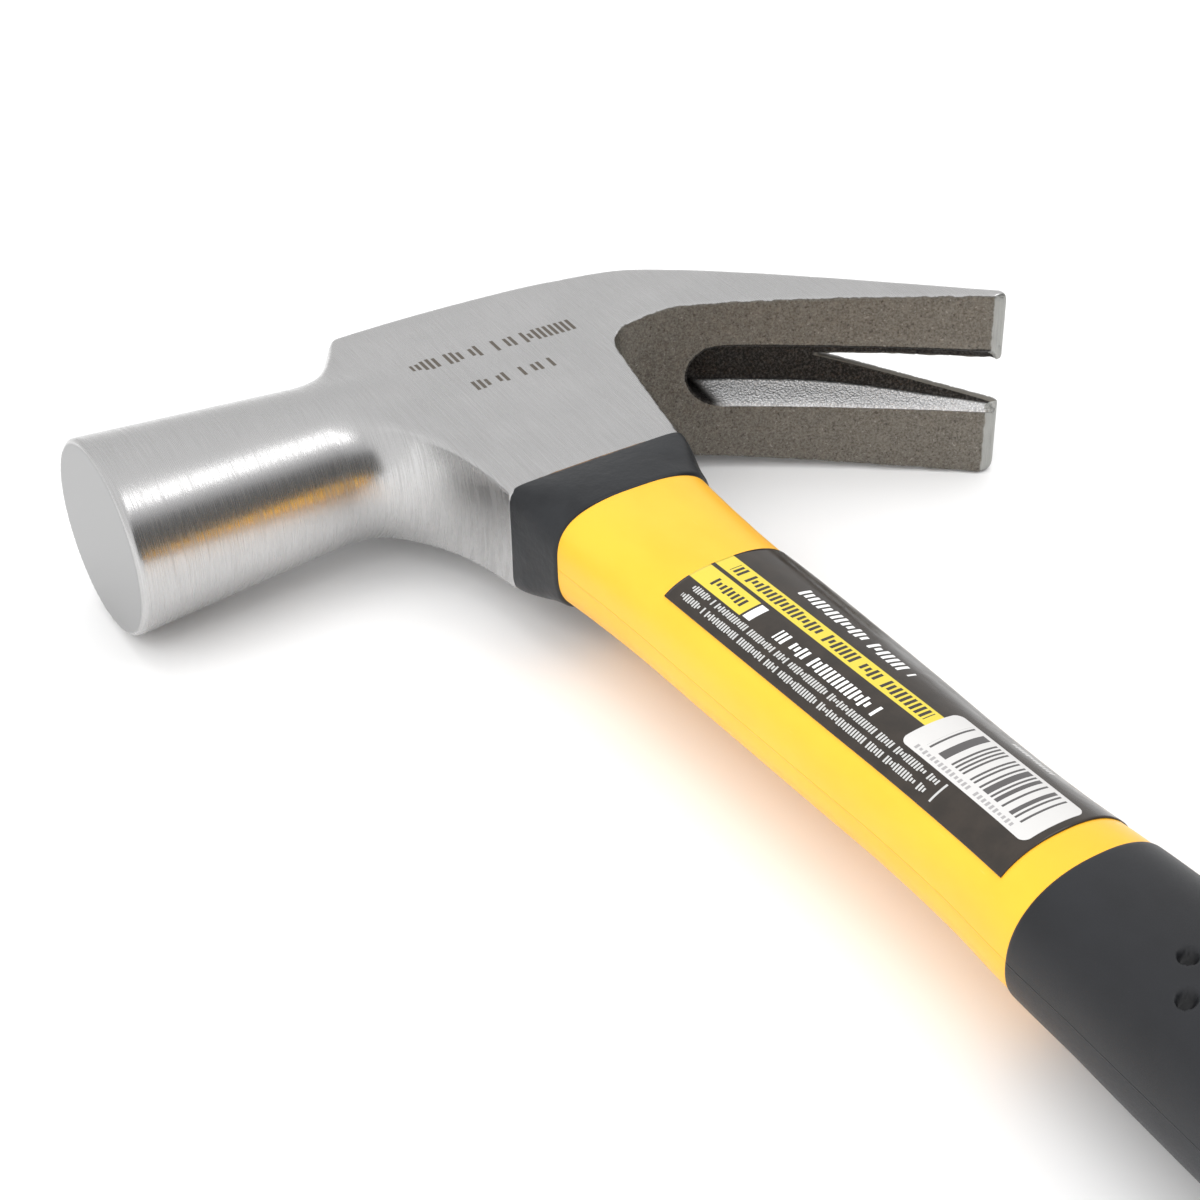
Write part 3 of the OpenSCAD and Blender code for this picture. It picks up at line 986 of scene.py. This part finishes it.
def etched_strokes(s, scale):
    """Two worn rows of plain strokes on the cheek, the upper one slanted."""
    slanted = s.math("ADD", s.y, s.product(s.x, ETCHED_SLANT))
    upper = s.marks(s.x, slanted, *ETCHED_ROWS[0], ETCHED_PITCH)
    lower = s.marks(s.x, s.y, *ETCHED_ROWS[1], ETCHED_PITCH)
    on_cheek = s.span(s.z, *CHEEK_Z)
    return s.product(s.math("MAXIMUM", upper, lower), on_cheek, s.span(scale, 0.2, 0.4))


def steel_material():
    s = Shader("forged_steel")
    grain = s.noise(s.stretched(0.11, 6.0, 6.0), 4.0, 0.65)
    fine = s.noise(s.stretched(0.045, 3.0, 3.0), 2.0, 0.5)
    patch = s.noise(s.stretched(14.0, 9.0, 9.0), 3.0)
    scale = s.noise(s.stretched(0.38, 0.38, 0.38), 5.0, 0.72)
    pits = s.noise(s.stretched(1.7, 1.7, 1.7), 4.0, 0.6)
    spark = s.voronoi(s.stretched(0.42, 0.42, 0.42))
    zones = steel_zones(s, pits)
    etched = etched_strokes(s, scale)

    brushed = s.mix(s.spread(patch), *BRUSHED)
    brushed = s.tinted(brushed, s.span(grain, 0.35, 0.7), 0.5, BRUSH_LINE)
    colour = s.mix(zones["forged"], brushed, forged_colour(s, scale, pits))
    # Floor of the nail channel: forged tone darkened as painted shade of the recess
    colour = s.mix(zones["floor"], colour, s.mix(s.span(scale, 0.4, 0.7), *CUT_FLOOR_SHADE))
    # Sheared channel wall: near-white colour and white spots as painted glints of lit metal
    colour = s.mix(zones["wall"], colour, s.mix(s.span(spark, 0.1, 0.55), *SHEARED_GLINT))
    colour = s.mix(zones["slot"], colour, NAIL_SLOT)
    colour = s.mix(zones["tip"], colour, s.mix(s.spread(grain), *GROUND_TIP))
    colour = s.mix(zones["face"], colour, STRIKING_FACE)
    colour = s.tinted(colour, etched, 0.85, ETCHING)

    roughness = s.blend(s.spread(grain), 0.16, 0.36)
    roughness = s.blend(zones["forged"], roughness, s.spread(scale, 0.62, 0.48))
    roughness = s.blend(zones["wall"], roughness, 0.30)
    roughness = s.blend(s.math("MAXIMUM", zones["face"], zones["tip"]), roughness, 0.42)
    roughness = s.blend(etched, roughness, 0.6)

    lines = s.math("ADD", grain, s.product(fine, 0.5))
    unground = s.math("MAXIMUM", zones["forged"], zones["face"])
    normal = s.bump(s.product(lines, s.inverse(unground)), 0.008)
    crust = s.product(s.math("ADD", scale, s.product(pits, 1.6)), zones["forged"])
    normal = s.bump(crust, 0.10, before=normal)
    normal = s.bump(s.product(spark, zones["wall"]), 0.5, before=normal)
    bare = s.product(s.math("MAXIMUM", zones["wall"], zones["slot"]), 0.92)
    return s.finish(
        Base_Color=colour, Metallic=s.inverse(bare), Roughness=roughness, Normal=normal,
    )


def jacket_material():
    s = Shader("yellow_polypropylene")
    cloud = s.noise(s.stretched(9.0, 18.0, 9.0), 3.0)
    orange_peel = s.noise(s.stretched(0.9, 1.6, 0.9), 2.0)
    fine = s.noise(s.stretched(0.12, 0.12, 0.12), 2.0)
    scuff = s.noise(s.stretched(0.35, 5.0, 0.35), 3.0, 0.6)
    colour = s.mix(s.spread(cloud), *JACKET_YELLOW)
    colour = s.tinted(colour, s.span(scuff, 0.66, 0.8), 0.12, JACKET_SCUFF)
    worn = s.math("ADD", fine, s.product(scuff, 0.5))
    normal = s.bump(s.band(s.z, -0.09, 0.09, 0.06), 0.07)
    normal = s.bump(orange_peel, 0.012, before=normal)
    normal = s.bump(fine, 0.003, before=normal)
    return s.finish(
        Base_Color=colour, Roughness=s.span(worn, 0.5, 1.1, 0.30, 0.42), Normal=normal,
        IOR=1.49, Subsurface_Weight=0.12, Subsurface_Radius=(0.006, 0.003, 0.0006),
        Subsurface_Scale=0.4,
    )


def collar_material():
    s = Shader("charcoal_plastic")
    cloud = s.noise(s.stretched(4.0, 4.0, 4.0), 4.0)
    fine = s.noise(s.stretched(0.16, 0.16, 0.16), 3.0)
    dust = s.noise(s.stretched(0.5, 0.5, 0.5), 5.0, 0.7)
    colour = s.mix(s.spread(cloud), *COLLAR_BLACK)
    colour = s.tinted(colour, s.span(dust, 0.64, 0.75), 0.2, COLLAR_DUST)
    roughness = s.spread(cloud, 0.34, 0.46)
    normal = s.bump(cloud, 0.25)
    normal = s.bump(fine, 0.006, before=normal)
    return s.finish(Base_Color=colour, Roughness=roughness, Normal=normal, IOR=1.42)


def grip_material():
    s = Shader("charcoal_rubber")
    cloud = s.noise(s.stretched(12.0, 20.0, 12.0), 3.0)
    fine = s.noise(s.stretched(0.14, 0.14, 0.14), 4.0, 0.65)
    dust = s.noise(s.stretched(0.6, 0.9, 0.6), 5.0, 0.75)
    colour = s.mix(s.spread(cloud), *GRIP_BLACK)
    colour = s.tinted(colour, s.span(dust, 0.66, 0.78), 0.12, GRIP_DUST)
    # Dimple bottoms darkened towards black as painted shade of the holes
    colour = s.tinted(colour, s.attribute("dimple"), 0.7, DIMPLE_SHADE)
    roughness = s.spread(fine, 0.40, 0.52)
    normal = s.bump(s.band(s.z, -0.08, 0.08, 0.06), 0.08)
    normal = s.bump(fine, 0.02, before=normal)
    return s.finish(Base_Color=colour, Roughness=roughness, Normal=normal, IOR=1.42)


def resin_material():
    s = Shader("amber_resin")
    cloud = s.noise(s.stretched(1.1, 1.1, 1.1), 4.0)
    fine = s.noise(s.stretched(0.25, 0.25, 0.25), 3.0)
    colour = s.mix(s.span(cloud, 0.35, 0.65), *RESIN_AMBER)
    roughness = s.spread(fine, 0.25, 0.45)
    normal = s.bump(cloud, 0.1)
    return s.finish(Base_Color=colour, Roughness=roughness, Normal=normal, IOR=1.55)


def fibreglass_material():
    s = Shader("pultruded_fibreglass")
    strands = s.voronoi(s.stretched(0.28, 30.0, 0.28))
    cloud = s.noise(s.stretched(2.0, 12.0, 2.0), 3.0)
    colour = s.mix(s.span(strands, 0.1, 0.7), *STRANDS)
    colour = s.tinted(colour, cloud, 0.4, STRAND_CLOUD)
    roughness = s.span(strands, 0.1, 0.7, 0.35, 0.6)
    normal = s.bump(strands, 0.05)
    return s.finish(Base_Color=colour, Roughness=roughness, Normal=normal, IOR=1.55)


# Label print, in millimetres across the label and along the handle
PAST_TOP = float(LABEL_TOP) + 1
LABEL_BLOCKS = (
    # across from and to, along from and to, softness, colour
    (-1.15, 1.75, -105.5, PAST_TOP, 0.05, INK_YELLOW),
    (-5.2, -1.8, -74.0, PAST_TOP, 0.05, INK_YELLOW),
    (-5.0, -1.9, -75.8, -74.4, 0.05, INK_WHITE),
)
LABEL_STROKES = (
    # middle and half height across, along from and to, pitch, colour
    (0.35, 0.95, -104.0, -65.5, 0.88, INK_BLACK),
    (-3.5, 0.8, -72.8, -66.2, 0.85, INK_BLACK),
    (-3.9, 0.95, -100.0, -80.2, 0.8, INK_WHITE),
    (-6.1, 0.5, -113.8, -65.2, 0.46, INK_PALE),
    (-7.8, 0.5, -113.0, -65.0, 0.46, INK_PALE),
    (4.5, 1.05, -96.0, -74.5, 0.92, INK_WHITE),
    (7.3, 0.6, -118.5, -111.0, 0.6, INK_PALE),
)
LABEL_RULE = (-8.4, -5.5, -114.6, -114.3, 0.03)
PANEL_CENTRE = (-0.375, -116.15)
PANEL_HALF = (4.575, 11.15)
PANEL_CORNER = 1.2
PANEL_STROKES = (-4.15, 0.36, -124.5, -106.8, 0.7)
BARS = (-3.2, 3.6, -125.7, -107.9, 0.05)
BAR_WIDTH = 0.33
BAR_CHANCE = 0.52


def block(s, across, low, high, y_low, y_high, soft):
    return s.product(s.band(across, low, high, soft), s.band(s.y, y_low, y_high, soft))


def strokes(s, across, centre, half, y_low, y_high, pitch):
    return s.marks(s.y, across, centre, half, y_low, y_high, pitch)


def rounded_panel(s, across):
    """Rectangle with rounded corners, behind the bars."""
    sides = []
    past = []
    for value, centre, half in zip((across, s.y), PANEL_CENTRE, PANEL_HALF):
        sides.append(s.band(value, centre - half, centre + half, 0.05))
        away = s.math("ABSOLUTE", s.math("SUBTRACT", value, centre))
        away = s.math("MAXIMUM", s.math("SUBTRACT", away, half - PANEL_CORNER), 0.0)
        past.append(s.math("POWER", away, 2.0))
    corner = s.math("LESS_THAN", s.math("SQRT", s.math("ADD", *past)), PANEL_CORNER)
    return s.product(*sides, corner)


def plain_bars(s, across):
    """Bars at random, which encode nothing."""
    strip = s.node("ShaderNodeTexWhiteNoise", noise_dimensions="1D")
    s.link(s.math("FLOOR", s.math("DIVIDE", s.y, BAR_WIDTH)), strip.inputs["W"])
    dark = s.math("GREATER_THAN", strip.outputs["Value"], BAR_CHANCE)
    return s.product(dark, block(s, across, *BARS))


def label_material():
    s = Shader("printed_film")
    across = s.attribute("across")
    wear = s.noise(s.stretched(3.0, 3.0, 3.0), 4.0)
    colour = s.mix(s.spread(wear), *LABEL_GROUND)
    for shape, prints in ((block, LABEL_BLOCKS), (strokes, LABEL_STROKES)):
        for *place, ink in prints:
            colour = s.mix(shape(s, across, *place), colour, ink)
    colour = s.mix(block(s, across, *LABEL_RULE), colour, INK_PALE)
    colour = s.mix(rounded_panel(s, across), colour, PANEL_WHITE)
    colour = s.mix(plain_bars(s, across), colour, BAR_BLACK)
    colour = s.mix(strokes(s, across, *PANEL_STROKES), colour, INK_GREY)
    normal = s.bump(s.noise(s.stretched(3.5, 9.0, 3.5), 2.0), 0.10)
    roughness = s.spread(wear, 0.16, 0.26)
    return s.finish(Base_Color=colour, Roughness=roughness, Normal=normal, IOR=1.45)


def floor_material():
    s = Shader("white_sweep")
    cloud = s.noise(s.stretched(40.0, 40.0, 40.0), 2.0)
    return s.finish(Base_Color=s.mix(s.spread(cloud), *FLOOR_WHITE), Roughness=0.7)


# ---------------------------------------------------------------- studio
CAMERA_PLACE = (-0.1490, -0.11915, 0.1935)
CAMERA_AZIMUTH = math.radians(-31.44)
CAMERA_ELEVATION = math.radians(34.886)
CAMERA_ROLL = math.radians(-1.31)
CAMERA_LENS = 70.11

# The lights aim here, in working millimetres
LIGHT_TARGET = (45, -10, 0)
LIGHTS = (
    # name, azimuth, elevation, distance, size, radiance, seen in reflections
    ("softbox", -38, 56, 1.0, (0.55, 0.15), 3.2, True),
    ("fill_left", 200, 42, 1.2, (1.2, 0.9), 1.65, False),
    ("fill_top", 60, 80, 1.2, (1.0, 1.0), 1.55, False),
    ("fill_front", -112, 42, 1.2, (1.0, 0.8), 0.75, False),
)
FLOOR_REACH = 20000


def placed(side, up, back, at):
    matrix = np.eye(4)
    matrix[:3] = np.column_stack([side, up, back, at])
    return Matrix(matrix.tolist())


def build_camera():
    data = bpy.data.cameras.new("camera")
    data.lens = CAMERA_LENS
    data.sensor_width = 36
    data.clip_start = 0.01
    camera = bpy.data.objects.new("camera", data)
    bpy.context.scene.collection.objects.link(camera)
    sin_a, cos_a = math.sin(CAMERA_AZIMUTH), math.cos(CAMERA_AZIMUTH)
    sin_e, cos_e = math.sin(CAMERA_ELEVATION), math.cos(CAMERA_ELEVATION)
    back = np.array([sin_a * cos_e, -cos_a * cos_e, sin_e])
    right = np.array([cos_a, sin_a, 0])
    up = np.cross(back, right)
    turned = math.cos(CAMERA_ROLL) * right + math.sin(CAMERA_ROLL) * up
    upright = math.cos(CAMERA_ROLL) * up - math.sin(CAMERA_ROLL) * right
    camera.matrix_world = placed(turned, upright, back, CAMERA_PLACE)
    bpy.context.scene.camera = camera


def build_area_light(name, azimuth, elevation, distance, size, radiance, mirrored):
    """A softbox that faces the head, azimuth counted from +X towards +Y."""
    a, e = math.radians(azimuth), math.radians(elevation)
    towards = np.array([math.cos(a) * math.cos(e), math.sin(a) * math.cos(e), math.sin(e)])
    target = to_frame(LIGHT_TARGET)
    data = bpy.data.lights.new(name, "AREA")
    data.shape = "RECTANGLE"
    data.size, data.size_y = size
    data.energy = radiance * math.pi * size[0] * size[1]
    light = bpy.data.objects.new(name, data)
    light.visible_glossy = mirrored
    bpy.context.scene.collection.objects.link(light)
    side = np.array([-math.sin(a), math.cos(a), 0])
    up = np.cross(towards, side)
    light.matrix_world = placed(side, up, towards, target + towards * distance)


# Directions of the darker room and of the brighter wall, counted from +X towards +Y
ROOM_AZIMUTH = math.radians(-55)
WALL_AZIMUTH = math.radians(195)
# Radiance up from the horizon, by the height of a direction's unit vector
ROOM_STOPS = (
    (0.0, (0.25, 0.24, 0.22)),
    (0.06, (0.24, 0.225, 0.20)),
    (0.13, (0.14, 0.14, 0.135)),
    (0.5, (0.17, 0.17, 0.17)),
    (0.64, (0.75, 0.75, 0.76)),
    (0.86, (0.95, 0.95, 0.96)),
    (1.0, (1.0, 1.0, 1.0)),
)
SWEEP_STOPS = (
    (0.0, (0.95, 0.95, 0.95)),
    (0.3, (0.86, 0.86, 0.86)),
    (0.6, (0.90, 0.90, 0.90)),
    (1.0, (1.0, 1.0, 1.0)),
)
ROOM_TURN = (0.45, 0.75)
WALL_TURN = (0.1, 0.7)
WALL_GAIN = 0.15


class World(Nodes):
    """The studio's light by direction."""

    def __init__(self, name):
        self.world = bpy.data.worlds.new(name)
        super().__init__(self.world)
        self.direction = self.node("ShaderNodeTexCoord").outputs["Generated"]
        split = self.node("ShaderNodeSeparateXYZ")
        self.link(self.direction, split.inputs[0])
        self.height = split.outputs["Z"]

    def towards(self, azimuth, low, high, gain=1.0):
        """0 to gain, as a direction turns towards an azimuth."""
        facing = self.node("ShaderNodeVectorMath", operation="DOT_PRODUCT")
        self.link(self.direction, facing.inputs[0])
        facing.inputs[1].default_value = (math.cos(azimuth), math.sin(azimuth), 0)
        return self.span(facing.outputs["Value"], low, high, 0.0, gain)

    def by_height(self, stops):
        made = self.node("ShaderNodeValToRGB")
        self.link(self.height, made.inputs[0])
        elements = made.color_ramp.elements
        while len(elements) < len(stops):
            elements.new(0.5)
        for element, (at, colour) in zip(elements, stops):
            element.position = at
            element.color = (*colour, 1)
        return made.outputs["Color"]


def build_world():
    """A white studio, darker where the hammer is seen from and brighter on its face's side."""
    w = World("studio")
    bpy.context.scene.world = w.world
    in_room = w.towards(ROOM_AZIMUTH, *ROOM_TURN)
    colour = w.mix(in_room, w.by_height(SWEEP_STOPS), w.by_height(ROOM_STOPS))
    strength = w.math("ADD", w.towards(WALL_AZIMUTH, *WALL_TURN, WALL_GAIN), 1.0)
    background = w.tree.nodes["Background"]
    w.link(colour, background.inputs["Color"])
    w.link(strength, background.inputs["Strength"])


def build_floor(material):
    square = ((-1, -1), (1, -1), (1, 1), (-1, 1))
    corners = [(x * FLOOR_REACH, y * FLOOR_REACH, 0) for x, y in square]
    floor = make_object("floor", corners, [(0, 1, 2, 3)], material)
    floor.location.z = -ORIGIN[2]


# ---------------------------------------------------------------- assembly
PIECES = (
    # builder, material, CAD node it stands for, material slot
    (build_head, steel_material, "claw_head", "head_steel"),
    (build_jacket, jacket_material, "handle_jacket", "jacket_plastic"),
    (build_collar, collar_material, "neck_collar", "collar_plastic"),
    (build_grip, grip_material, "grip_sleeve", "grip_rubber"),
    (build_label, label_material, "label", "label_film"),
)
for build, make_material, node, slot in PIECES:
    piece = build(make_material())
    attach(piece, "root")
    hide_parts(node)

resin = resin_material()
squeeze_out = build_squeeze_out(resin)
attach(squeeze_out, "root")
for node, material in (("eye_resin", resin), ("fibreglass_core", fibreglass_material())):
    slots = frame["nodes"][node].material_slots
    for place in slots:
        place.material = material

build_camera()
build_world()
for light in LIGHTS:
    build_area_light(*light)
build_floor(floor_material())
bpy.context.scene.view_settings.view_transform = "Standard"
